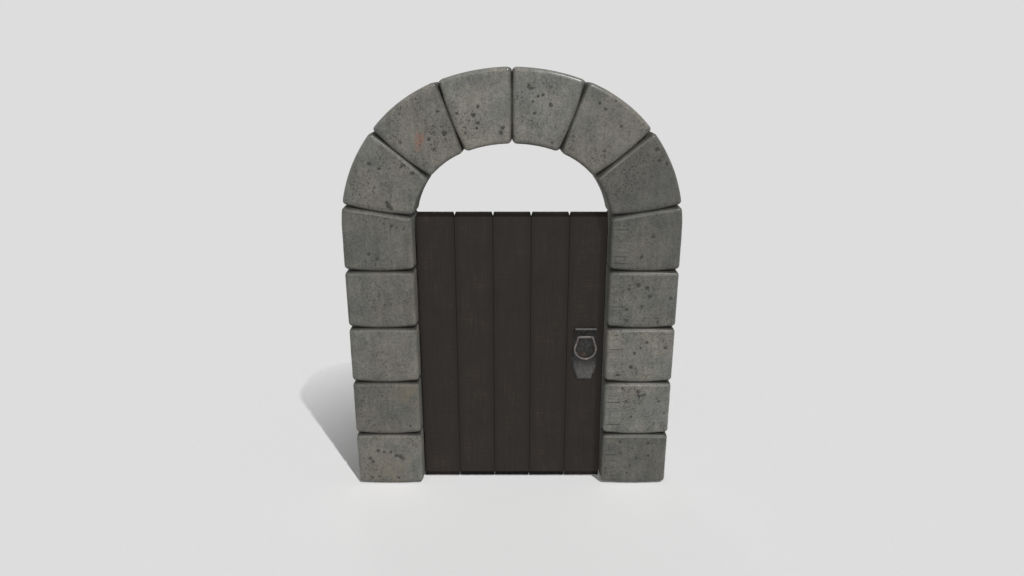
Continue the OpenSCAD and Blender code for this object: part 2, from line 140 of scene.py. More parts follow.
class Graph:
    """The node tree of one finish or of the world."""

    def __init__(self, owner: bpy.types.Material | bpy.types.World) -> None:
        """Empties the tree of a material or a world."""
        self.owner = owner
        owner.use_nodes = True
        self.tree = owner.node_tree
        self.tree.nodes.clear()
        self.place = self.node("ShaderNodeTexCoord", output="Object")

    def feed(self, socket: bpy.types.NodeSocket, value: object) -> None:
        """Links a signal to a socket, or sets the socket's own value.

        Args:
            socket: Input socket.
            value: Signal, number, colour or vector.
        """
        if isinstance(value, Signal):
            self.tree.links.new(value.socket, socket)
        elif socket.type == "RGBA":
            socket.default_value = (*value, 1.0)
        else:
            socket.default_value = value

    def node(
        self,
        kind: str,
        settings: dict[str, object] | None = None,
        inputs: dict[str | int, object] | None = None,
        output: str | int = 0,
    ) -> Signal:
        """Adds a node.

        Args:
            kind: Blender's name of the node's type.
            settings: Properties, set first; "stops" holds a ramp's (place, grey) pairs.
            inputs: Values or signals of its sockets.
            output: The output that is wanted.

        Returns:
            That output.
        """
        made = self.tree.nodes.new(kind)
        for name, value in (settings or {}).items():
            if name == "stops":
                self.set_stops(made.color_ramp, value)
            else:
                setattr(made, name, value)
        for name, value in (inputs or {}).items():
            self.feed(made.inputs[name], value)
        return Signal(self, made.outputs[output])

    def set_stops(self, ramp: bpy.types.ColorRamp, stops: list[tuple[float, float]]) -> None:
        """Gives a ramp its stops, with flat steps between them.

        Args:
            ramp: The ramp.
            stops: Pairs of place and grey.
        """
        ramp.interpolation = "CONSTANT"
        while len(ramp.elements) < len(stops):
            ramp.elements.new(1.0)
        for element, (place, grey) in zip(ramp.elements, stops):
            element.position = place
            element.color = (grey, grey, grey, 1.0)

    def math(self, operation: str, first: Value, second: Value) -> Signal:
        """Adds a Math node.

        Args:
            operation: Its operation.
            first: First value.
            second: Second value.

        Returns:
            The result.
        """
        return self.node("ShaderNodeMath", {"operation": operation}, {0: first, 1: second})

    def step(self, value: Signal, low: float, high: float) -> Signal:
        """Smooth step of a value between two limits.

        Args:
            value: Value to map.
            low: Value that gives 0.
            high: Value that gives 1.

        Returns:
            The eased share.
        """
        if low > high:
            return 1.0 - self.step(value, high, low)
        return self.node(
            "ShaderNodeMapRange",
            {"interpolation_type": "SMOOTHSTEP"},
            {"Value": value, "From Min": low, "From Max": high},
        )

    def mix(self, share: Value, first: Paint, second: Paint, mode: str = "MIX") -> Signal:
        """Mixes two colours.

        Args:
            share: Share of the second colour.
            first: First colour.
            second: Second colour.
            mode: Blend type.

        Returns:
            The mixed colour.
        """
        return self.node(
            "ShaderNodeMix",
            {"data_type": "RGBA", "blend_type": mode},
            {0: share, 6: first, 7: second},
            output=2,
        )

    def lit(self, colour: Paint, level: Value) -> Signal:
        """Multiplies a colour by a level.

        Args:
            colour: The colour.
            level: The level.

        Returns:
            The brighter or darker colour.
        """
        return self.node(
            "ShaderNodeVectorMath", {"operation": "SCALE"}, {0: colour, "Scale": level}
        )

    def scaled(self, scale: Colour, turn: Colour = (0.0, 0.0, 0.0)) -> Signal:
        """Object coordinates, stretched and turned.

        Args:
            scale: Factor along each axis.
            turn: Turn about each axis, in radians.

        Returns:
            The mapped coordinates.
        """
        return self.node(
            "ShaderNodeMapping",
            {"vector_type": "POINT"},
            {"Vector": self.place, "Scale": scale, "Rotation": turn},
        )

    def cloud(
        self, scale: float, detail: float = 4.0, rough: float = 0.55, at: Signal | None = None
    ) -> Signal:
        """Fractal noise.

        Args:
            scale: Waves in a metre.
            detail: Octaves.
            rough: Weight of the finer octaves.
            at: Coordinates, or None for the object's own.

        Returns:
            The noise, from 0 to 1.
        """
        inputs = {"Vector": at or self.place, "Scale": scale, "Detail": detail, "Roughness": rough}
        return self.node("ShaderNodeTexNoise", {}, inputs)

    def cells(self, scale: float, output: str = "Distance", at: Signal | None = None) -> Signal:
        """Voronoi cells.

        Args:
            scale: Cells in a metre.
            output: The output that is wanted.
            at: Coordinates, or None for the object's own.

        Returns:
            That output.
        """
        inputs = {"Vector": at or self.place, "Scale": scale}
        return self.node("ShaderNodeTexVoronoi", {}, inputs, output)

    def layer(self, name: str) -> Signal:
        """A value that the mesh holds at its points."""
        return self.node("ShaderNodeAttribute", {"attribute_name": name}, {}, "Fac")

    def relief(self, height: Signal, distance: float, strength: float = 1.0) -> Signal:
        """Bump from a height.

        Args:
            height: Height, in units of the distance.
            distance: Metres that a height of 1 stands for.
            strength: Share of the bump.

        Returns:
            The normal.
        """
        inputs = {"Height": height, "Distance": distance, "Strength": strength}
        return self.node("ShaderNodeBump", {}, inputs)

    def surface(self, sockets: dict[str, object]) -> bpy.types.Material:
        """Closes the graph with the surface shader.

        Args:
            sockets: Values or signals of the shader's sockets.

        Returns:
            The material.
        """
        return self.close(self.node("ShaderNodeBsdfPrincipled", {}, sockets))

    def close(self, shader: Signal) -> bpy.types.Material | bpy.types.World:
        """Feeds a shader to the tree's output and gives the owner of the tree."""
        kind = "World" if isinstance(self.owner, bpy.types.World) else "Material"
        out = self.tree.nodes.new(f"ShaderNodeOutput{kind}")
        self.feed(out.inputs["Surface"], shader)
        return self.owner


class Slot(Enum):
    """Finishes that the record names."""

    STONE = "stone"
    OAK = "oak"
    IRON = "iron"
    RING_IRON = "ring_iron"


class Body(Enum):
    """Bodies that pieces ride on."""

    FRAME = "frame"
    LEAF = "leaf"
    RING = "ring"


class Side(Enum):
    """Side of the doorway, seen from the front."""

    LEFT = -1
    RIGHT = 1


class Cut(Enum):
    """Kind of stone in the arch."""

    JAMB = "jamb"
    IMPOST = "impost"
    HAUNCH = "haunch"
    CROWN = "crown"


@dataclass(frozen=True)
class StoneFinish:
    """Grey, pitted stone with rubbed edges, painted highlight on its upward bevels and painted shade at its
    joints, near its beds and on its undersides.
    """

    cool: Colour = srgb(95, 96, 91)
    warm: Colour = srgb(105, 102, 95)
    pit: Colour = srgb(50, 48, 44)
    joint: Colour = srgb(54, 52, 46)
    rust: Colour = srgb(140, 96, 74)
    ochre: Colour = srgb(108, 101, 86)
    ticks: tuple[float, ...] = (0.237, 0.476, 0.649, 1.048, 1.657, 1.704, 1.885)
    tick_width: float = 0.008
    tick_span: float = 2.0

    def make(self) -> bpy.types.Material:
        """Builds the material."""
        g = Graph(bpy.data.materials.new("worn_stone"))
        broad = g.cloud(2.4, 3.0, 0.55)
        patch = g.cloud(8.0, 5.0, 0.62)
        mottle = g.cloud(46.0, 5.0, 0.68)
        grain = g.cloud(95.0, 4.0, 0.70)
        edge = g.layer("edge")
        gloss = g.step(edge, 0.05, 0.45)
        side = g.layer("side")
        margin = g.layer("margin")
        joint = g.layer("joint")
        crowd = g.step(g.cloud(4.6, 3.0, 0.55), 0.44, 0.62)
        speck = g.step(grain, 0.54, 0.66) * (0.12 + crowd * 0.42)
        speck = speck + g.step(g.cloud(85.0, 3.0, 0.60), 0.58, 0.64) * (0.22 + crowd * 0.70)
        core = g.step(g.cloud(150.0, 3.0, 0.65) + g.layer("pit") * 0.45, 0.74, 0.86)
        pit = g.math("MINIMUM", core + speck, 1.0) * (1.0 - edge * 0.5)
        lines = g.cloud(1.0, 2.0, 0.6, g.scaled((4.0, 4.0, 62.0)))
        tick = self.tick_marks(g) * margin
        colour = g.mix(g.step(broad + (patch - 0.5) * 0.5, 0.38, 0.62), self.cool, self.warm)
        shade = 1.0 + (patch - 0.5) * 0.85 + (mottle - 0.5) * 1.1 + (grain - 0.5) * 2.2
        shade = shade + (g.cloud(1.0, 3.0, 0.6, g.scaled((36.0, 36.0, 7.0))) - 0.5) * 0.7
        # Rounded edges are made lighter, partly as wear and partly as painted highlight; the side layer
        # paints light onto the faces that turn from the front
        shade = shade + ((lines - 0.5) * 1.1 - 0.05) * margin + edge * 0.14 + side * 0.30
        # Painted shade near the beds and on undersides; painted highlight, standing for wear as well, on
        # upward-facing bevels
        shade = shade - g.layer("grime") * 0.10 - g.layer("under") * 0.30 + g.layer("worn") * 0.26
        colour = g.lit(colour, shade * g.layer("tone"))
        colour = g.mix(g.layer("rust") * g.step(mottle, 0.36, 0.62) * 0.8, colour, self.rust)
        colour = g.mix(g.layer("ochre") * g.step(patch, 0.30, 0.60), colour, self.ochre)
        colour = g.mix(tick * 0.65, colour, self.pit)
        colour = g.mix(pit * 0.85, colour, self.pit)
        # Painted shade: the joint colour darkens the grooves between stones
        colour = g.mix(joint * 0.9, colour, self.joint)
        height = patch * 0.45 + mottle * 0.40 + grain * 0.08 - pit * 0.6 - tick * 0.4
        rough = 0.68 - gloss * 0.42 + pit * 0.2 + joint * 0.3 + side * 0.3
        return g.surface(
            {
                "Base Color": colour,
                "Roughness": g.math("MINIMUM", rough, 0.95),
                "Specular IOR Level": 0.5,
                "Normal": g.relief(height * (1.0 - gloss * 0.8), 0.003, 0.7),
            }
        )

    def tick_marks(self, g: Graph) -> Signal:
        """Chisel ticks at set heights."""
        axes = g.node("ShaderNodeSeparateXYZ", {}, {"Vector": g.place}, "Z")
        wander = (g.cloud(8.0, 2.0) - 0.5) * 0.012
        stops = [(0.0, 0.0)]
        for height in self.ticks:
            stops.append(((height - self.tick_width / 2) / self.tick_span, 1.0))
            stops.append(((height + self.tick_width / 2) / self.tick_span, 0.0))
        inputs = {"Fac": (axes + wander) / self.tick_span}
        return g.node("ShaderNodeValToRGB", {"stops": stops}, inputs)


@dataclass(frozen=True)
class OakFinish:
    """Dark oiled oak with saw marks across the boards, and painted shade along its seams and at the foot of
    the planks.
    """

    name: str = "dark_oak"
    base: Colour = srgb(40, 35, 31)
    deep: Colour = srgb(30, 26, 23)
    pale: Colour = srgb(58, 51, 46)
    black: Colour = srgb(6, 6, 6)
    band: tuple[float, float] = (1.949, 1.955)
    foot: tuple[float, float] = (0.042, 0.036)
    across: Colour = (9.0, 9.0, 90.0)

    def make(self) -> bpy.types.Material:
        """Builds the material."""
        g = Graph(bpy.data.materials.new(self.name))
        saw = g.cloud(1.0, 3.0, 0.65, g.scaled(self.across))
        fibre = g.cloud(1.0, 4.0, 0.6, g.scaled(tuple(a * 2.6 + 20.0 for a in self.across)))
        broad = g.cloud(5.0, 4.0, 0.6)
        grain = g.cloud(1.0, 3.0, 0.65, g.scaled((75.0, 75.0, 5.0)))
        tone = g.layer("tone")
        shade = (saw - 0.5) * 0.8 + (fibre - 0.5) * 0.8 + (broad - 0.5) * 0.7
        shade = shade + (grain - 0.5) * 0.7 + tone * 0.18
        colour = g.mix(g.step(shade, 0.0, -0.40), self.base, self.deep)
        colour = g.mix(g.step(shade, 0.02, 0.45), colour, self.pale)
        # Painted shade along the seams between planks
        colour = g.mix(g.layer("seam") * 0.85, colour, self.deep)
        height = g.node("ShaderNodeSeparateXYZ", {}, {0: g.place}, "Z")
        band = g.step(height + (grain - 0.5) * 0.006, *self.band) * 0.4
        # Painted shade: a black strip along the foot of the planks, full on the middle ones
        foot = g.step(height, *self.foot) * g.layer("end")
        colour = g.mix(g.math("MAXIMUM", band, foot), colour, self.black)
        relief = g.relief(saw * 0.5 + fibre * 0.4 + grain * 0.4, 0.0016, 0.7)
        return g.surface(
            {
                "Base Color": colour,
                "Roughness": g.math("MINIMUM", 0.62 + saw * 0.2 + foot + band, 1.0),
                "Specular IOR Level": 0.22,
                "Normal": relief,
            }
        )


@dataclass(frozen=True)
class IronFinish:
    """Hammered iron, dark on its faces, rubbed along its edges; the top of the handle's head gets painted
    highlight.
    """

    name: str = "hammered_iron"
    base: Colour = srgb(48, 47, 47)
    dark: Colour = srgb(32, 32, 32)
    worn: Colour = srgb(120, 116, 113)
    # Colour of rubbed edges, also used as painted highlight on the top of the handle's head
    rust: Colour = srgb(80, 58, 45)
    bare: float = 0.10

    def make(self) -> bpy.types.Material:
        """Builds the material."""
        g = Graph(bpy.data.materials.new(self.name))
        patch = g.cloud(48.0, 5.0, 0.65)
        fine = g.cloud(420.0, 2.0)
        blow = g.cells(60.0, "Distance")
        edge = g.layer("edge")
        colour = g.mix(g.step(patch, 0.36, 0.66), self.dark, self.base)
        streak = g.cloud(1.0, 3.0, 0.65, g.scaled((150.0, 150.0, 45.0)))
        # A layer that darkens the iron: the plate's upper part and rim, and the head below its top
        soot = g.layer("soot")
        colour = g.lit(colour, (1.0 - soot * 0.75) * (1.0 + (streak - 0.5) * 3.0))
        colour = g.mix(g.layer("rust") * g.step(patch, 0.34, 0.6) * 0.8, colour, self.rust)
        scuff = g.step(patch + fine * 0.35, 0.62, 0.86)
        shine = g.math("MINIMUM", edge * (0.55 + patch * 0.7) + scuff * self.bare, 1.0)
        colour = g.mix(shine, colour, self.worn)
        height = blow * 0.6 + patch * 0.5 + fine * 0.1
        return g.surface(
            {
                "Base Color": colour,
                "Metallic": 0.15 + shine * 0.35,
                "Roughness": 0.66 - shine * 0.20 - fine * 0.08 + soot * 0.25,
                "Specular IOR Level": 0.25,
                "Normal": g.relief(height, 0.0018, 0.7),
            }
        )


@dataclass(frozen=True)
class Finishes:
    """The materials of the door, one for each slot, and the two grain directions."""

    stone: bpy.types.Material
    plank: bpy.types.Material
    ledge: bpy.types.Material
    iron: bpy.types.Material
    ring: bpy.types.Material

    @classmethod
    def mixed(cls) -> "Finishes":
        """Makes all the materials."""
        bright = IronFinish(
            "handled_iron", srgb(114, 106, 103), srgb(92, 86, 84), srgb(150, 141, 137), bare=0.5
        )
        return cls(
            StoneFinish().make(),
            OakFinish().make(),
            OakFinish("dark_oak_ledge", across=(90.0, 9.0, 9.0)).make(),
            IronFinish().make(),
            bright.make(),
        )


def settle(
    bm: bmesh.types.BMesh,
    name: str,
    material: bpy.types.Material,
    body: Body,
    slot: Slot,
    nodes: tuple[str, ...],
    crease: float = 180.0,
) -> bpy.types.Object:
    """Turns a bmesh into a piece that rides on a body.

    Args:
        bm: The shape; it is freed.
        name: Name of the piece.
        material: Its finish.
        body: Body it rides on.
        slot: Slot of the record that it takes its finish from; it is not used.
        nodes: CAD nodes that it stands for.
        crease: Angle in degrees past which an edge stays sharp.

    Returns:
        The piece.
    """
    bm.normal_update()
    bmesh.ops.recalc_face_normals(bm, faces=bm.faces[:])
    mesh = bpy.data.meshes.new(name)
    bm.to_mesh(mesh)
    bm.free()
    mesh.shade_smooth()
    mesh.set_sharp_from_angle(angle=math.radians(crease))
    mesh.materials.append(material)
    piece = bpy.data.objects.new(name, mesh)
    bpy.context.scene.collection.objects.link(piece)
    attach(piece, body.value)
    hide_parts(*nodes)
    LOG.info("%s: %d faces, rides on %s", name, len(mesh.polygons), body.value)
    return piece


def dress(node: str, material: bpy.types.Material) -> None:
    """Gives a CAD node its finish.

    Args:
        node: Name of the node.
        material: The finish.
    """
    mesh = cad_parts[node].data
    mesh.materials.clear()
    mesh.materials.append(material)
    LOG.info("%s: keeps its solid", node)


@dataclass(frozen=True)
class Block:
    """A squared block with rounded edges and a fine grid of faces."""

    size: Vector
    edge: float
    cell: Vector
    segments: int = 4

    def build(self) -> bmesh.types.BMesh:
        """Makes the block with its lowest corner at the origin.

        Returns:
            The mesh.
        """
        bm = bmesh.new()
        place = Matrix.Diagonal((*self.size, 1.0)) @ Matrix.Translation((0.5, 0.5, 0.5))
        bmesh.ops.create_cube(bm, size=1.0, matrix=place)
        bmesh.ops.bevel(
            bm,
            geom=bm.edges[:],
            offset=self.edge,
            segments=self.segments,
            profile=0.5,
            affect="EDGES",
            material=-1,
        )
        for axis in range(3):
            span = self.size[axis] - 2.0 * self.edge
            cuts = round(span / self.cell[axis]) - 1
            edges = [e for e in bm.edges if self.spans(e, axis, span)]
            if cuts > 0:
                bmesh.ops.subdivide_edges(bm, edges=edges, cuts=cuts, use_grid_fill=True)
        return bm

    def spans(self, edge: bmesh.types.BMEdge, axis: int, span: float) -> bool:
        """Says whether an edge runs the flat length of the block along an axis."""
        return abs(edge.verts[0].co[axis] - edge.verts[1].co[axis]) > span * 0.9

    def depths(self, point: Vector) -> list[float]:
        """Distance of a point from the nearer face along each axis."""
        return [min(point[a], self.size[a] - point[a]) for a in range(3)]

    def edge_share(self, point: Vector) -> float:
        """Share from 0 on a flat face to 1 on the crest of a rounded edge."""
        return max(0.0, min(1.0, (1.0 - sorted(self.depths(point))[1] / self.edge) / 0.7))


@dataclass(frozen=True)
class Mark:
    """A pit, crevice or stain on the front of a stone."""

    x: float
    z: float
    reach: float
    depth: float = 1.0

    def share(self, x: float, z: float, ragged: float) -> float:
        """Strength of the mark at a point.

        Args:
            x: Place across the front.
            z: Height.
            ragged: Noise that breaks up its outline.

        Returns:
            Strength from 0 to 1.
        """
        far = math.hypot(x - self.x, z - self.z) / self.reach
        return self.depth * (1.0 - ease(far + ragged * 0.4, 0.2, 1.5))


# Pits: place across and height in centimetres, reach in millimetres
PIT_ROWS = (
    (-42, 250, 24), (-52, 246, 14), (-49, 240, 14), (-70, 244, 13), (-46, 263, 13), (-21, 256, 17),
    (-24, 261, 17), (-22, 253, 13), (-21, 266, 14), (-7, 250, 14), (-6, 253, 16), (-7, 251, 14),
    (-29, 250, 13), (-34, 262, 13), (0, 270, 26), (-90, 231, 16), (-70, 229, 16), (-68, 230, 15),
    (-63, 225, 18), (-79, 204, 22), (-80, 206, 18), (-78, 202, 18), (-84, 228, 13), (10, 278, 18),
    (12, 277, 16), (19, 273, 14), (16, 272, 13), (24, 267, 17), (13, 269, 13), (14, 262, 13),
    (54, 268, 16), (64, 270, 15), (58, 264, 14), (58, 239, 12), (68, 254, 14), (91, 240, 18),
    (93, 233, 14), (98, 231, 14), (-78, 191, 15), (-75, 190, 13), (-70, 189, 12), (-94, 172, 15),
    (-89, 169, 14), (-96, 27, 18), (-92, 26, 17), (-87, 26, 16), (-83, 23, 18), (-80, 22, 23),
    (-100, 18, 18), (-102, 21, 16), (-101, 5, 16), (-96, 6, 15), (-82, 5, 16), (-78, 20, 14),
    (-72, 47, 13), (84, 151, 20), (90, 149, 20), (92, 143, 16), (87, 136, 15), (77, 134, 14),
    (77, 126, 20), (98, 125, 15), (106, 142, 14), (78, 148, 13), (92, 110, 16), (88, 106, 14),
    (84, 102, 15), (82, 92, 16), (73, 86, 15), (105, 106, 15), (77, 76, 14), (88, 73, 21),
    (89, 70, 20), (97, 33, 17), (98, 23, 15), (85, 170, 16), (92, 184, 13), (77, 34, 13),
    (86, 29, 12), (85, 15, 13), (83, 9, 12), (89, 21, 13), (78, 25, 12), (103, 18, 12),
    (92, 71, 14), (80, 66, 15), (84, 54, 12), (71, 79, 12), (103, 66, 12), (107, 57, 13),
    (82, 44, 12),
)
PITS = tuple(Mark(x / 100.0, z / 100.0, reach / 1000.0) for x, z, reach in PIT_ROWS)
STAINS = (Mark(-0.575, 2.47, 0.034), Mark(-0.58, 2.44, 0.030), Mark(-0.59, 2.405, 0.024, 0.7))
OCHRE = (Mark(-0.722, 0.735, 0.095, 0.75), Mark(-0.880, 0.120, 0.150, 0.5))


@dataclass(frozen=True)
class Stone:
    """One stone of the arch."""

    node: str
    side: Side
    cut: Cut
    low: float
    high: float
    tone: float


@dataclass
class StoneArch:
    """Jambs, imposts and arch stones."""

    finish: bpy.types.Material
    half_opening: float = 0.645
    face: float = 0.465
    depth: float = 0.300
    edge: float = 0.028
    course: float = 0.401
    courses: int = 4
    springing: float = 1.884
    haunch_radius: float = 0.526
    haunch_centre: float = 0.119
    crown_radius: float = 0.8658
    crown_centre: float = 1.5657
    beds: tuple[float, float, float, float] = (9.0, 39.25, 69.5, 90.0)
    end_zone: float = 0.045
    cell: float = 0.009
    margin: float = 0.122
    sag: float = 0.015
    tones: dict[str, float] = field(
        default_factory=lambda: {
            "jamb_stone_left_1": 1.08,
            "jamb_stone_left_2": 0.84,
            "jamb_stone_left_3": 1.01,
            "jamb_stone_left_4": 0.90,
            "impost_stone_left": 0.81,
            "springer_left": 1.06,
            "haunch_stone_left": 1.10,
            "crown_stone_left": 1.34,
            "jamb_stone_right_1": 0.75,
            "jamb_stone_right_2": 1.23,
            "jamb_stone_right_3": 1.24,
            "jamb_stone_right_4": 0.96,
            "impost_stone_right": 0.76,
            "springer_right": 0.69,
            "haunch_stone_right": 1.11,
            "crown_stone_right": 1.36,
        }
    )

    def stones(self) -> Iterator[Stone]:
        """Lists the stones of both sides from the floor to the crown."""
        for side in Side:
            end = side.name.lower()
            rows = [
                (f"jamb_stone_{end}_{n + 1}", Cut.JAMB, n * self.course, (n + 1) * self.course)
                for n in range(self.courses)
            ]
            low, middle, top, crown = (math.radians(b) for b in self.beds)
            rows += [
                (f"impost_stone_{end}", Cut.IMPOST, self.courses * self.course, low),
                (f"springer_{end}", Cut.HAUNCH, low, middle),
                (f"haunch_stone_{end}", Cut.HAUNCH, middle, top),
                (f"crown_stone_{end}", Cut.CROWN, top, crown),
            ]
            for node, cut, start, stop in rows:
                yield Stone(node, side, cut, start, stop, self.tones[node])

    def build(self) -> None:
        """Builds every stone."""
        for stone in self.stones():
            self.build_stone(stone)

    def run(self, stone: Stone, across: float) -> float:
        """Length of a stone at a distance from its inner face.

        Args:
            stone: The stone.
            across: Distance from its inner face.

        Returns:
            Its length there.
        """
        if stone.cut is Cut.JAMB:
            return stone.high - stone.low
        if stone.cut is Cut.IMPOST:
            return self.springing - stone.low + (self.haunch_radius + across) * stone.high
        return (self.radius(stone) + across) * (stone.high - stone.low)

    def radius(self, stone: Stone) -> float:
        """Radius of a stone's inner face."""
        return self.crown_radius if stone.cut is Cut.CROWN else self.haunch_radius

    def seat(self, stone: Stone, across: float, along: float) -> tuple[float, float]:
        """Place of a point of a right-hand stone in the front view.

        Args:
            stone: The stone.
            across: Distance from its inner face.
            along: Distance from its lower bed.

        Returns:
            The place across and the height.
        """
        if stone.cut is Cut.JAMB:
            return self.half_opening + across, stone.low + along
        reach = self.radius(stone) + across
        if stone.cut is Cut.IMPOST:
            rise = self.springing - stone.low
            if along <= rise:
                return self.half_opening + across, stone.low + along
            turn = (along - rise) / reach
        else:
            turn = stone.low + along / reach
        if stone.cut is Cut.CROWN:
            return reach * math.cos(turn), self.crown_centre + reach * math.sin(turn)
        return self.haunch_centre + reach * math.cos(turn), self.springing + reach * math.sin(turn)

    def along(self, stone: Stone, length: float, point: Vector) -> float:
        """Distance from the lower bed, with the ends of the stone kept at true size.

        Args:
            stone: The stone.
            length: Length of the straight block.
            point: Point of the straight block.

        Returns:
            The distance.
        """
        true = self.run(stone, point.x)
        if point.z <= self.end_zone:
            return point.z
        if point.z >= length - self.end_zone:
            return true - (length - point.z)
        stretch = (true - 2.0 * self.end_zone) / (length - 2.0 * self.end_zone)
        return self.end_zone + (point.z - self.end_zone) * stretch

    def build_stone(self, stone: Stone) -> None:
        """Builds one stone: a rounded block, bent to its place, then worn.

        Args:
            stone: The stone.
        """
        length = self.run(stone, self.face / 2.0)
        size = Vector((self.face, self.depth, length))
        block = Block(size, self.edge, Vector((self.cell, self.cell * 1.6, self.cell)), 5)
        bm = block.build()
        local = [v.co.copy() for v in bm.verts]
        for vert, point in zip(bm.verts, local):
            x, z = self.seat(stone, point.x, self.along(stone, length, self.softened(block, point)))
            vert.co = (stone.side.value * x, point.y - self.depth / 2.0, z)
        bm.normal_update()
        bmesh.ops.recalc_face_normals(bm, faces=bm.faces[:])
        bm.normal_update()
        self.wear(bm, block, stone, local)
        name = f"{stone.node}_dressed"
        settle(bm, name, self.finish, Body.FRAME, Slot.STONE, (stone.node,))

    def softened(self, block: Block, point: Vector) -> Vector:
        """Draws the ends of the beds in, so that the beds look bowed from the front.

        Args:
            block: The straight block.
            point: One of its points.

        Returns:
            The point with its new place along the block.
        """
        across, _, bed = block.depths(point)
        corner = (1.0 - ease(across, -0.04, 0.20)) * (1.0 - ease(bed, 0.0, 0.07))
        corner *= 1.0 - ease(point.y, 0.05, 0.10)
        inward = 1.0 if point.z < block.size.z / 2.0 else -0.35
        return point + Vector((0.0, 0.0, inward * self.sag * corner))

    def wear(
        self, bm: bmesh.types.BMesh, block: Block, stone: Stone, local: list[Vector]
    ) -> None:
        """Wears the stone inwards and notes at each point what shows there, painted light and shade among
        it.

        Args:
            bm: The stone's mesh, in place.
            block: The straight block that it was bent from.
            stone: The stone.
            local: Its points in the straight block.
        """
        names = (
            "pit", "joint", "grime", "rust", "ochre", "margin", "tone", "edge", "worn", "side", "under",
        )
        layers = {n: bm.verts.layers.float.new(n) for n in names}
        cuts = []
        for vert, point in zip(bm.verts, local):
            at = vert.co
            bed = block.depths(point)[2]
            crest = block.edge_share(point)
            front = ease(-vert.normal.y, 0.5, 0.9)
            ragged = noise.noise(at * 70.0)
            pit = max((m.share(at.x, at.z, ragged) for m in self.near(PITS, at)), default=0.0)
            rust = max((m.share(at.x, at.z, ragged) for m in self.near(STAINS, at)), default=0.0)
            ochre = max((m.share(at.x, at.z, ragged) for m in self.near(OCHRE, at)), default=0.0)
            # Painted shade on faces that look down, clear of the beds
            under = ease(-vert.normal.z, 0.15, 0.70) * ease(bed, 0.020, 0.050)
            held = ease(bed, 0.004, 0.024)
            swell = noise.fractal(at * 5.5, 0.9, 2.1, 3) * 0.5 + 0.5
            chip = max(0.0, noise.fractal(at * 17.0, 0.8, 2.0, 3)) * crest
            rough = noise.noise(at * 48.0) * 0.5 + 0.5
            cuts.append(held * (swell * 0.0022 + chip * 0.0020 + rough * 0.0006 + pit * pit * front * 0.003))
            vert[layers["pit"]] = pit * front
            vert[layers["rust"]] = rust * front
            vert[layers["ochre"]] = ochre * front
            vert[layers["under"]] = under
            # Painted shade in the joint grooves, half as strong in the arch
            joint_shade_share = 1.0 if stone.cut is Cut.JAMB else 0.5
            vert[layers["joint"]] = (1.0 - ease(bed, 0.003, 0.017)) * joint_shade_share
            # Painted shade on the faces near the beds, fading out over 6 cm
            vert[layers["grime"]] = 1.0 - ease(bed, 0.010, 0.060)
            vert[layers["tone"]] = stone.tone
            polish_and_highlight = self.polish_and_highlight(stone, point)
            # Painted highlight on upward-facing bevels, which stands for wear as well, and painted light on
            # the inner edge of the left jamb
            upper = ease(vert.normal.z, 0.04, 0.30) * ease(bed, 0.008, 0.020)
            turned = 1.0 - ease(-vert.normal.y, 0.05, 0.40)
            inner = 1.5 * (1.0 - ease(point.x, 0.0, 0.034)) if stone.side is Side.LEFT else 0.0
            # edge: the crest of the rounded edges, lighter partly from wear and partly as painted highlight
            vert[layers["edge"]] = crest * min(1.0, polish_and_highlight)
            vert[layers["worn"]] = max(upper * (0.35 + 0.65 * polish_and_highlight), inner) * (1.0 - turned)
            # Painted light: faces turned from the front are made paler, by the amount that reveal gives
            vert[layers["side"]] = turned * (1.0 - under) * self.reveal(stone, point, at)
            vert[layers["margin"]] = self.tooling(stone, point, at) * front
        for vert, cut in zip(bm.verts, cuts):
            vert.co -= vert.normal * max(0.0, cut)

    def polish_and_highlight(self, stone: Stone, point: Vector) -> float:
        """Polish of a stone's rounded edges, which also sets how much painted highlight they get.

        Args:
            stone: The stone.
            point: Point of the straight block.

        Returns:
            About 1 in the arch, less on the left jamb, more to the right of the right jamb.
        """
        if stone.cut is not Cut.JAMB:
            return 1.0
        if stone.side is Side.LEFT:
            return 0.3
        return 0.4 + 1.4 * ease(point.x, 0.05, 0.25)

    def reveal(self, stone: Stone, point: Vector, at: Vector) -> float:
        """Painted light on the faces that don't look to the front.

        Args:
            stone: The stone.
            point: Point of the straight block.
            at: Its place.

        Returns:
            About 2, with more painted light on the left reveal and less at the foot of the right one.
        """
        inner = 1.0 - ease(point.x, 0.010, 0.040)
        if stone.cut not in (Cut.JAMB, Cut.IMPOST):
            return 2.0
        if stone.side is Side.LEFT:
            return 2.0 + 1.5 * inner
        return 2.0 + inner * (1.3 * ease(at.z, 0.4, 1.4) - 1.1)

    def near(self, marks: tuple[Mark, ...], at: Vector) -> Iterator[Mark]:
        """Marks that may reach a point."""
        return (m for m in marks if abs(m.x - at.x) < m.reach * 1.6 and abs(m.z - at.z) < m.reach * 1.6)

    def tooling(self, stone: Stone, point: Vector, at: Vector) -> float:
        """Share of the tooled margin at a point.

        Args:
            stone: The stone.
            point: Point of the straight block.
            at: Its place.

        Returns:
            1 on the inner margin of the right jamb, 0 elsewhere.
        """
        if stone.side is Side.LEFT or stone.cut not in (Cut.JAMB, Cut.IMPOST):
            return 0.0
        ragged = noise.noise(Vector((0.0, 0.0, at.z * 45.0))) * 0.02
        return ease(point.x, 0.010, 0.030) * (1.0 - ease(point.x + ragged, self.margin - 0.02, self.margin))


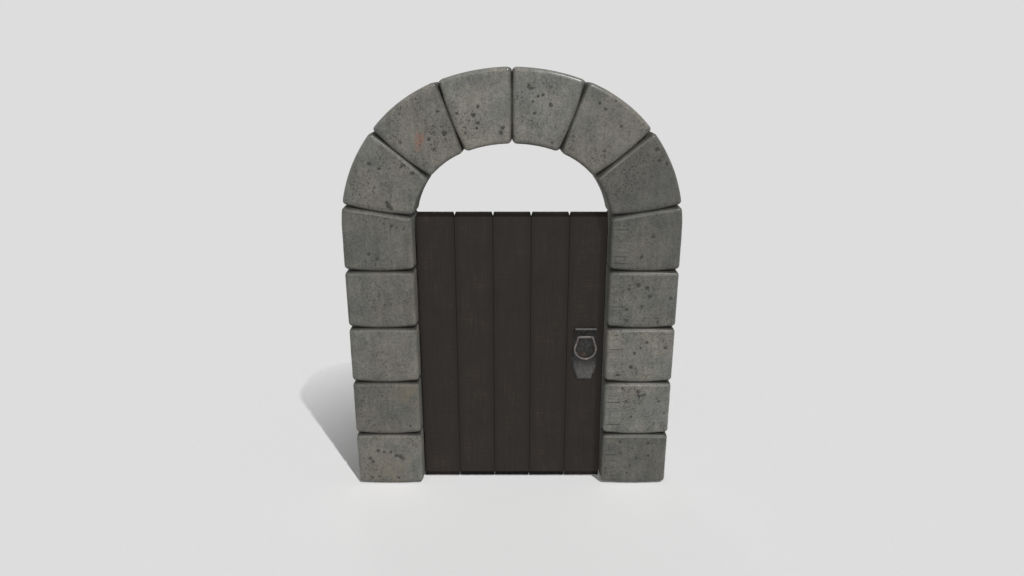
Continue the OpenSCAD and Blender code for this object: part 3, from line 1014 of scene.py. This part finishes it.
@dataclass
class PlankLeaf:
    """Planks, ledges and nails of the leaf."""

    plank_finish: bpy.types.Material
    ledge_finish: bpy.types.Material
    iron: bpy.types.Material
    plank_width: float = 0.2552
    planks: int = 5
    front: float = -0.045
    back: float = 0.015
    low: float = 0.010
    high: float = 1.976
    springing: float = 1.884
    head_half: float = 0.6298
    edge: float = 0.0045
    ledge_half: float = 0.601
    ledge_back: float = 0.055
    ledge_height: float = 0.150
    ledge_edge: float = 0.006
    ledges: dict[str, float] = field(
        default_factory=lambda: {"lower": 0.3033, "middle": 1.0153, "upper": 1.7273}
    )
    strap_back: float = 0.063
    strap_tip: float = 0.4038
    nail_across: float = 0.051
    nail_up: float = 0.053
    nail_radius: float = 0.010
    nail_height: float = 0.005
    tones: tuple[float, ...] = (0.0, 0.08, -0.12, 0.06, 0.0)

    def build(self) -> None:
        """Builds planks, ledges and nails."""
        for n in range(self.planks):
            self.build_plank(n)
        for name, height in self.ledges.items():
            self.build_ledge(name, height)
        ends = [
            Vector((self.plank_x(n) + s * self.nail_across, self.ledge_back, z - s * self.nail_up))
            for z in self.ledges.values()
            for n in range(self.planks)
            for s in (-1, 1)
        ]
        self.build_nails("ledge_nails", ends)
        spots = [self.plank_x(n) for n in range(self.planks - 1)] + [self.strap_tip]
        heights = (self.ledges["lower"], self.ledges["upper"])
        self.build_nails("strap_nails", [Vector((x, self.strap_back, z)) for z in heights for x in spots])

    def plank_x(self, n: int) -> float:
        """Middle of a plank, counted from the left."""
        return (n - (self.planks - 1) / 2.0) * self.plank_width

    def build_plank(self, n: int) -> None:
        """Builds one plank with soft edges.

        Args:
            n: Plank, counted from the left.
        """
        size = Vector((self.plank_width, self.back - self.front, self.high - self.low))
        block = Block(size, self.edge, Vector((0.016, 0.016, 0.024)))
        bm = block.build()
        names = ("seam", "end", "tone")
        layers = {name: bm.verts.layers.float.new(name) for name in names}
        corner = Vector((self.plank_x(n) - self.plank_width / 2.0, self.front, self.low))
        local = [v.co.copy() for v in bm.verts]
        bm.normal_update()
        cuts = []
        for vert, point in zip(bm.verts, local):
            side = block.depths(point)[0]
            vert.co = point + corner
            self.shape_end(vert, side, self.plank_x(n))
            crest = block.edge_share(point)
            held = ease(side, 0.002, 0.010)
            wave = noise.fractal(Vector((vert.co.x * 6.0, n * 3.7, vert.co.z * 3.0)), 0.9, 2.0, 3)
            nick = max(0.0, noise.noise(vert.co * 26.0)) * crest
            cuts.append(held * ((wave * 0.5 + 0.5) * 0.0012 + nick * 0.002))
            # Painted shade near each long edge of the plank, fading out over 45 mm
            vert[layers["seam"]] = 1.0 - min(1.0, side / 0.045)
            # Share of the painted shade at the foot: full on the middle planks, less on the outer ones
            vert[layers["end"]] = 1.0 if 0 < n < self.planks - 1 else 0.45
            vert[layers["tone"]] = self.tones[n]
        for vert, cut in zip(bm.verts, cuts):
            if vert.normal.y < 0.5:
                vert.co -= vert.normal * cut
        node = f"plank_{n + 1}"
        settle(bm, f"{node}_sawn", self.plank_finish, Body.LEAF, Slot.OAK, (node,))

    def shape_end(self, vert: bmesh.types.BMVert, side: float, middle: float) -> None:
        """Opens the seams at the ends of the planks and slopes the upper corners of the leaf.

        Args:
            vert: Point of a plank, in place.
            side: Its distance from the nearer edge of the plank.
            middle: Place of the plank's middle across the leaf.
        """
        half = self.planks * self.plank_width / 2.0
        if abs(vert.co.x) < half - self.plank_width / 2.0:
            top = max(0.0, 1.0 - (self.high - vert.co.z) / 0.028) ** 2.0
            foot = max(0.0, 1.0 - (vert.co.z - self.low) / 0.014) ** 2.0
            pull = max(0.009 * top, 0.006 * foot) * (1.0 - ease(side, 0.0, 0.022))
            vert.co.x += math.copysign(pull, middle - vert.co.x)
        elif half - abs(vert.co.x) < self.edge and vert.co.z < self.low + self.edge:
            vert.co.x = math.copysign(half, vert.co.x)
        rise = max(0.0, vert.co.z - self.springing) / (self.high - self.springing)
        limit = half + (self.head_half - half) * rise
        vert.co.x = max(-limit, min(limit, vert.co.x))

    def build_ledge(self, name: str, height: float) -> None:
        """Builds one ledge across the back of the planks.

        Args:
            name: Which ledge.
            height: Height of its middle.
        """
        size = Vector((2.0 * self.ledge_half, self.ledge_back - self.back, self.ledge_height))
        block = Block(size, self.ledge_edge, Vector((0.030, 0.014, 0.016)), 3)
        bm = block.build()
        layer = bm.verts.layers.float.new("end")
        corner = Vector((-self.ledge_half, self.back, height - self.ledge_height / 2.0))
        local = [v.co.copy() for v in bm.verts]
        bm.normal_update()
        for vert, point in zip(bm.verts, local):
            vert[layer] = 0.5 * (1.0 - ease(block.depths(point)[0], 0.004, 0.020))
            vert.co = point + corner
            nick = max(0.0, noise.noise(vert.co * 23.0)) * block.edge_share(point)
            if vert.normal.y > -0.5:
                vert.co -= vert.normal * nick * 0.002 * ease(point.y, 0.004, 0.012)
        node = f"ledge_{name}"
        settle(bm, f"{node}_sawn", self.ledge_finish, Body.LEAF, Slot.OAK, (node,))

    def build_nails(self, node: str, seats: list[Vector]) -> None:
        """Builds a set of hand-forged nail heads.

        Args:
            node: CAD node that the set stands for.
            seats: Where the heads sit on what they hold.
        """
        bm = bmesh.new()
        layer = bm.verts.layers.float.new("edge")
        for n, seat in enumerate(seats):
            turn = Matrix.Rotation(n * 2.4, 4, "Z")
            stand = Matrix.Translation(seat) @ Matrix.Rotation(math.radians(-90.0), 4, "X") @ turn
            rim = self.nail_height * 0.36
            base = Matrix.Translation((0.0, 0.0, rim / 2.0 - 0.001))
            crown = Matrix.Translation((0.0, 0.0, rim + (self.nail_height - rim) / 2.0))
            foot = bmesh.ops.create_cone(
                bm,
                cap_ends=True,
                segments=10,
                radius1=self.nail_radius * 0.97,
                radius2=self.nail_radius,
                depth=rim + 0.002,
                matrix=stand @ base,
            )
            top = bmesh.ops.create_cone(
                bm,
                cap_ends=True,
                segments=5,
                radius1=self.nail_radius * 0.98,
                radius2=self.nail_radius * 0.28,
                depth=self.nail_height - rim,
                matrix=stand @ crown,
            )
            for vert in foot["verts"]:
                vert[layer] = 0.25
            for vert in top["verts"]:
                vert[layer] = 0.75
        settle(bm, f"{node}_forged", self.iron, Body.LEAF, Slot.IRON, (node,), 25.0)


class Sweep:
    """A bar drawn along a path of straights and bends."""

    def __init__(self, start: Vector, radius: float, segments: int) -> None:
        """Starts with a round section across the X axis.

        Args:
            start: Middle of the first section.
            radius: Radius of the bar.
            segments: Sides of the section.
        """
        self.bm = bmesh.new()
        place = Matrix.Translation(start) @ Matrix.Rotation(math.radians(90.0), 4, "Y")
        bmesh.ops.create_circle(self.bm, segments=segments, radius=radius, matrix=place)
        self.rim = self.bm.edges[:]

    def straight(self, travel: Vector, steps: int) -> None:
        """Draws the bar straight on.

        Args:
            travel: The whole travel.
            steps: Sections that it is divided into.
        """
        for _ in range(steps):
            made = bmesh.ops.extrude_edge_only(self.bm, edges=self.rim)["geom"]
            verts = [v for v in made if isinstance(v, bmesh.types.BMVert)]
            bmesh.ops.translate(self.bm, verts=verts, vec=travel / steps)
            self.rim = [e for e in made if isinstance(e, bmesh.types.BMEdge) and e.is_boundary]
            self.rim = [e for e in self.rim if all(v in verts for v in e.verts)]

    def bend(self, centre: Vector, angle: float, steps: int) -> None:
        """Bends the bar about an axis along Y.

        Args:
            centre: Point on the axis.
            angle: Angle in radians.
            steps: Sections that it is divided into.
        """
        last = bmesh.ops.spin(
            self.bm,
            geom=self.rim,
            cent=centre,
            axis=Vector((0.0, 1.0, 0.0)),
            angle=angle,
            steps=steps,
            use_duplicate=False,
        )["geom_last"]
        self.rim = [e for e in last if isinstance(e, bmesh.types.BMEdge)]

    def closed(self) -> bmesh.types.BMesh:
        """Joins the last section to the first and gives the mesh."""
        bmesh.ops.remove_doubles(self.bm, verts=self.bm.verts[:], dist=2e-4)
        return self.bm


@dataclass
class RingHandle:
    """Back plate, head block and ring."""

    iron: bpy.types.Material
    ring_iron: bpy.types.Material
    x: float = 0.5104
    wood: float = -0.045
    plate_front: float = -0.053
    outline: tuple[tuple[float, float], ...] = (
        (0.075, 1.1793), (0.093, 0.9939), (0.093, 0.8891), (0.056, 0.7763),
    )
    plate_bevel: float = 0.003
    plate_chamfer: float = 0.020
    plate_rise: float = 0.003
    plate_cell: float = 0.011
    head_half: float = 0.075
    head_low: float = 1.1223
    head_high: float = 1.1763
    head_front: float = -0.078
    head_bevel: float = 0.006
    knuckle_y: float = -0.069
    knuckle_z: float = 1.1123
    knuckle_half: float = 0.040
    knuckle_radius: float = 0.0105
    bar: float = 0.0075
    leg_x: float = 0.0482
    bow_radius: float = 0.073
    bow_z: float = 1.0223
    elbow: float = 0.0085

    def build(self) -> None:
        """Builds plate, head and ring."""
        self.build_plate()
        self.build_head()
        self.build_ring()

    def build_plate(self) -> None:
        """Builds the back plate: a dinted panel raised inside a broad chamfer."""
        bm = bmesh.new()
        rim = [(x, z) for x, z in self.outline] + [(-x, z) for x, z in reversed(self.outline)]
        face = bm.faces.new([bm.verts.new((self.x + x, self.wood, z)) for x, z in rim])
        made = bmesh.ops.extrude_face_region(bm, geom=[face])["geom"]
        front = [v for v in made if isinstance(v, bmesh.types.BMVert)]
        lift = self.plate_front + self.plate_rise - self.wood
        bmesh.ops.translate(bm, verts=front, vec=(0.0, lift, 0.0))
        lip = [e for e in bm.edges if all(v in front for v in e.verts)]
        bmesh.ops.bevel(
            bm,
            geom=lip,
            offset=self.plate_bevel,
            segments=2,
            profile=0.5,
            affect="EDGES",
            material=-1,
        )
        bm.normal_update()
        bmesh.ops.recalc_face_normals(bm, faces=bm.faces[:])
        face = min(bm.faces, key=lambda f: f.calc_center_median().y)
        bmesh.ops.inset_region(
            bm,
            faces=[face],
            thickness=self.plate_chamfer,
            depth=self.plate_rise,
            use_even_offset=True,
        )
        self.cut_grid(bm)
        self.weather_plate(bm)
        settle(bm, "handle_plate_forged", self.iron, Body.LEAF, Slot.IRON, ("handle_plate",), 40.0)

    def cut_grid(self, bm: bmesh.types.BMesh) -> None:
        """Cuts the plate into small faces, so that marks can be noted at its points.

        Args:
            bm: The plate.
        """
        wide = max(x for x, _ in self.outline)
        low, high = self.outline[-1][1], self.outline[0][1]
        across, up = Vector((1.0, 0.0, 0.0)), Vector((0.0, 0.0, 1.0))
        for way, start, stop in ((across, self.x - wide, self.x + wide), (up, low, high)):
            cuts = round((stop - start) / self.plate_cell)
            for n in range(1, cuts):
                bmesh.ops.bisect_plane(
                    bm,
                    geom=bm.verts[:] + bm.edges[:] + bm.faces[:],
                    dist=1e-5,
                    plane_co=way * (start + (stop - start) * n / cuts),
                    plane_no=way,
                )

    def weather_plate(self, bm: bmesh.types.BMesh) -> None:
        """Notes wear, rust and a darker upper part and rim on the plate and dints its panel.

        Args:
            bm: The plate.
        """
        layers = {n: bm.verts.layers.float.new(n) for n in ("edge", "rust", "soot")}
        bm.normal_update()
        for vert in bm.verts:
            at = vert.co
            upper = ease(at.z, 0.84, 0.96)
            rim = ease(at.y, self.plate_front + 0.0002, self.plate_front + 0.0020)
            vert[layers["edge"]] = (0.04 + 0.36 * (1.0 - upper)) * (1.0 - rim)
            stain = math.hypot(at.x - self.x + 0.022, (at.z - 0.980) * 1.6) / 0.045
            vert[layers["rust"]] = 1.0 - ease(stain, 0.2, 1.0)
            vert[layers["soot"]] = max(rim * 0.35, upper * 0.18)
            if vert.normal.y < -0.8:
                at.y += (noise.noise(at * 42.0) * 0.5 + 0.5) * 0.0010

    def build_head(self) -> None:
        """Builds the head block with the knuckle below it."""
        back = self.plate_front + self.plate_rise
        size = Vector((2.0 * self.head_half, back - self.head_front, self.head_high - self.head_low))
        block = Block(size, self.head_bevel, Vector((0.010, 0.008, 0.010)), 3)
        bm = block.build()
        edge, soot = (bm.verts.layers.float.new(n) for n in ("edge", "soot"))
        corner = Vector((self.x - self.head_half, self.head_front, self.head_low))
        local = [v.co.copy() for v in bm.verts]
        bm.normal_update()
        for vert, point in zip(bm.verts, local):
            # Painted highlight along the top of the head; below its top the head is made darker
            top = ease(point.z, size.z - 0.012, size.z - 0.005)
            vert[edge] = block.edge_share(point) * (0.15 + 0.75 * top) + 0.15 * top
            vert[soot] = 0.8 * (1.0 - top)
            vert.co = point + corner
            dint = noise.noise(vert.co * 60.0) * 0.5 + 0.5
            if vert.normal.y < -0.5:
                vert.co -= vert.normal * dint * 0.0012
        along = Matrix.Translation((self.x, self.knuckle_y, self.knuckle_z))
        along = along @ Matrix.Rotation(math.radians(90.0), 4, "Y")
        made = bmesh.ops.create_cone(
            bm,
            cap_ends=True,
            segments=24,
            radius1=self.knuckle_radius,
            radius2=self.knuckle_radius,
            depth=2.0 * self.knuckle_half,
            matrix=along,
        )["verts"]
        ends = [e for e in bm.edges if all(v in made for v in e.verts) and len(e.link_faces) == 2]
        ends = [e for e in ends if any(len(f.verts) > 4 for f in e.link_faces)]
        bmesh.ops.bevel(
            bm, geom=ends, offset=0.0025, segments=2, profile=0.5, affect="EDGES", material=-1
        )
        for vert in bm.verts:
            if vert.co.z < self.head_low - 0.001:
                vert[edge] = 0.8
        settle(bm, "handle_head_forged", self.iron, Body.LEAF, Slot.IRON, ("handle_head",), 40.0)

    def build_ring(self) -> None:
        """Builds the ring: a bar in the knuckle, two legs and a round bow."""
        start = Vector((self.x, self.knuckle_y, self.knuckle_z))
        rise = self.knuckle_z - self.bow_z
        far = math.hypot(self.leg_x, rise)
        foot = math.atan2(rise, self.leg_x) - math.acos(self.bow_radius / far)
        leg = math.sqrt(far**2 - self.bow_radius**2)
        turn = math.pi / 2.0 - foot
        lead = self.elbow * math.tan(turn / 2.0)
        down = Vector((math.cos(turn), 0.0, -math.sin(turn)))
        reach = self.leg_x - lead
        sweep = Sweep(start, self.bar, 16)
        sweep.straight(Vector((reach, 0.0, 0.0)), 2)
        sweep.bend(start + Vector((reach, 0.0, -self.elbow)), turn, 8)
        sweep.straight(down * (leg - lead), 6)
        bow = Vector((self.x, self.knuckle_y, self.bow_z))
        sweep.bend(bow, math.pi + 2.0 * foot, 40)
        sweep.straight(Vector((down.x, 0.0, -down.z)) * (leg - lead), 6)
        sweep.bend(start + Vector((-reach, 0.0, -self.elbow)), turn, 8)
        sweep.straight(Vector((reach, 0.0, 0.0)), 2)
        bm = sweep.closed()
        bm.normal_update()
        for vert in bm.verts:
            if vert.co.z < self.knuckle_z - 0.012:
                vert.co -= vert.normal * (noise.noise(vert.co * 55.0) * 0.5 + 0.5) * 0.0008
        settle(bm, "ring_pull_forged", self.ring_iron, Body.RING, Slot.RING_IRON, ("ring_pull",))


@dataclass
class Hinges:
    """Straps and pintles at the back of the leaf."""

    iron: bpy.types.Material
    nodes: tuple[str, ...] = (
        "strap_hinge_lower", "strap_hinge_upper", "pintle_lower", "pintle_upper", "handle_roves",
    )

    def build(self) -> None:
        """Dresses the solids of the hinges."""
        for node in self.nodes:
            dress(node, self.iron)


@dataclass(frozen=True)
class Lamp:
    """A distant light."""

    name: str
    energy: float
    angle: float
    towards: Colour


@dataclass
class Studio:
    """Floor, light and camera."""

    grey: float = 0.723
    floor_grey: float = 1.525
    floor_bounce: float = 0.30
    ambient: float = 0.70
    lean: float = 0.25
    lamps: tuple[Lamp, ...] = (
        Lamp("key", 1.33, 0.9, (0.329, -0.540, 0.775)),
        Lamp("fill", 1.50, 12.0, (-0.120, -0.983, 0.130)),
        Lamp("back_fill", 0.75, 20.0, (-0.250, 0.968, 0.030)),
    )
    floor_radius: float = 9.0
    fade: tuple[float, float] = (1.19, 2.86)
    camera_place: Colour = (0.0, -4.570, 2.848)
    camera_pitch: float = 17.06
    lens: float = 24.44

    def build(self) -> None:
        """Sets up the scene around the door."""
        self.build_world()
        self.build_floor()
        self.build_lamps()
        self.build_camera()
        bpy.context.scene.view_settings.view_transform = "Standard"

    def build_world(self) -> None:
        """Plain grey to look at; its light is a soft ring low round the door."""
        world = bpy.data.worlds.new("studio")
        bpy.context.scene.world = world
        g = Graph(world)
        right, up = (g.node("ShaderNodeSeparateXYZ", {}, {0: g.place}, axis) for axis in "XZ")
        ring = (1.0 - g.math("ABSOLUTE", up, 0.0)) ** 3.0 * g.step(up, -0.15, 0.05)
        ring = ring * (1.0 + right * self.lean)
        lights = g.node("ShaderNodeBackground", {}, {"Color": g.lit((1.0, 1.0, 1.0), ring * self.ambient)})
        backs = g.node("ShaderNodeBackground", {}, {"Color": (self.grey, self.grey, self.grey)})
        g.close(g.node("ShaderNodeMixShader", {}, {0: self.seen(g), 1: lights, 2: backs}))

    def seen(self, g: Graph) -> Signal:
        """Share that is 1 for what the camera sees, straight or in a reflection."""
        rays = [
            g.node("ShaderNodeLightPath", {}, {}, f"Is {kind} Ray")
            for kind in ("Camera", "Glossy", "Transmission")
        ]
        return g.math("MAXIMUM", g.math("MAXIMUM", rays[0], rays[1]), rays[2])

    def build_floor(self) -> None:
        """Pale round floor that fades into the backdrop."""
        g = Graph(bpy.data.materials.new("pale_floor"))
        pale, dull = ((level,) * 3 for level in (self.floor_grey, self.floor_bounce))
        far = g.node("ShaderNodeVectorMath", {"operation": "LENGTH"}, {0: g.place}, "Value")
        matt = g.node("ShaderNodeBsdfDiffuse", {}, {"Color": g.mix(self.seen(g), dull, pale)})
        clear = g.node("ShaderNodeBsdfTransparent")
        near, end = self.fade
        share = g.math("MAXIMUM", g.math("MINIMUM", (far - near) / (end - near), 1.0), 0.0)
        mixed = g.node("ShaderNodeMixShader", {}, {0: share, 1: matt, 2: clear})
        g.close(mixed)
        bm = bmesh.new()
        bmesh.ops.create_circle(bm, cap_ends=True, segments=96, radius=self.floor_radius)
        mesh = bpy.data.meshes.new("floor")
        bm.to_mesh(mesh)
        bm.free()
        mesh.materials.append(g.owner)
        floor = bpy.data.objects.new("floor", mesh)
        bpy.context.scene.collection.objects.link(floor)
        floor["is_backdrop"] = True

    def build_lamps(self) -> None:
        """Key light from the upper right and soft low fills from the front and the back."""
        for lamp in self.lamps:
            data = bpy.data.lights.new(lamp.name, "SUN")
            data.energy = lamp.energy
            data.angle = math.radians(lamp.angle)
            light = bpy.data.objects.new(lamp.name, data)
            light.rotation_euler = Vector(lamp.towards).to_track_quat("Z", "Y").to_euler()
            bpy.context.scene.collection.objects.link(light)

    def build_camera(self) -> None:
        """Camera in front of the door, looking slightly down."""
        data = bpy.data.cameras.new("camera")
        data.sensor_width = 36.0
        data.lens = self.lens
        camera = bpy.data.objects.new("camera", data)
        camera.location = self.camera_place
        camera.rotation_euler = (math.radians(90.0 - self.camera_pitch), 0.0, 0.0)
        bpy.context.scene.collection.objects.link(camera)
        bpy.context.scene.camera = camera


def write_sizes() -> None:
    boxes = {"cad": CAD_BOX, "visual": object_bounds()}
    plain = {name: [list(corner) for corner in box] for name, box in boxes.items()}


def main() -> None:
    """Builds the scene."""
    logging.basicConfig(level=logging.INFO, format="%(name)s %(message)s")
    Studio().build()
    finishes = Finishes.mixed()
    StoneArch(finishes.stone).build()
    PlankLeaf(finishes.plank, finishes.ledge, finishes.iron).build()
    RingHandle(finishes.iron, finishes.ring).build()
    Hinges(finishes.iron).build()
    write_sizes()


if __name__ == "__main__":
    main()
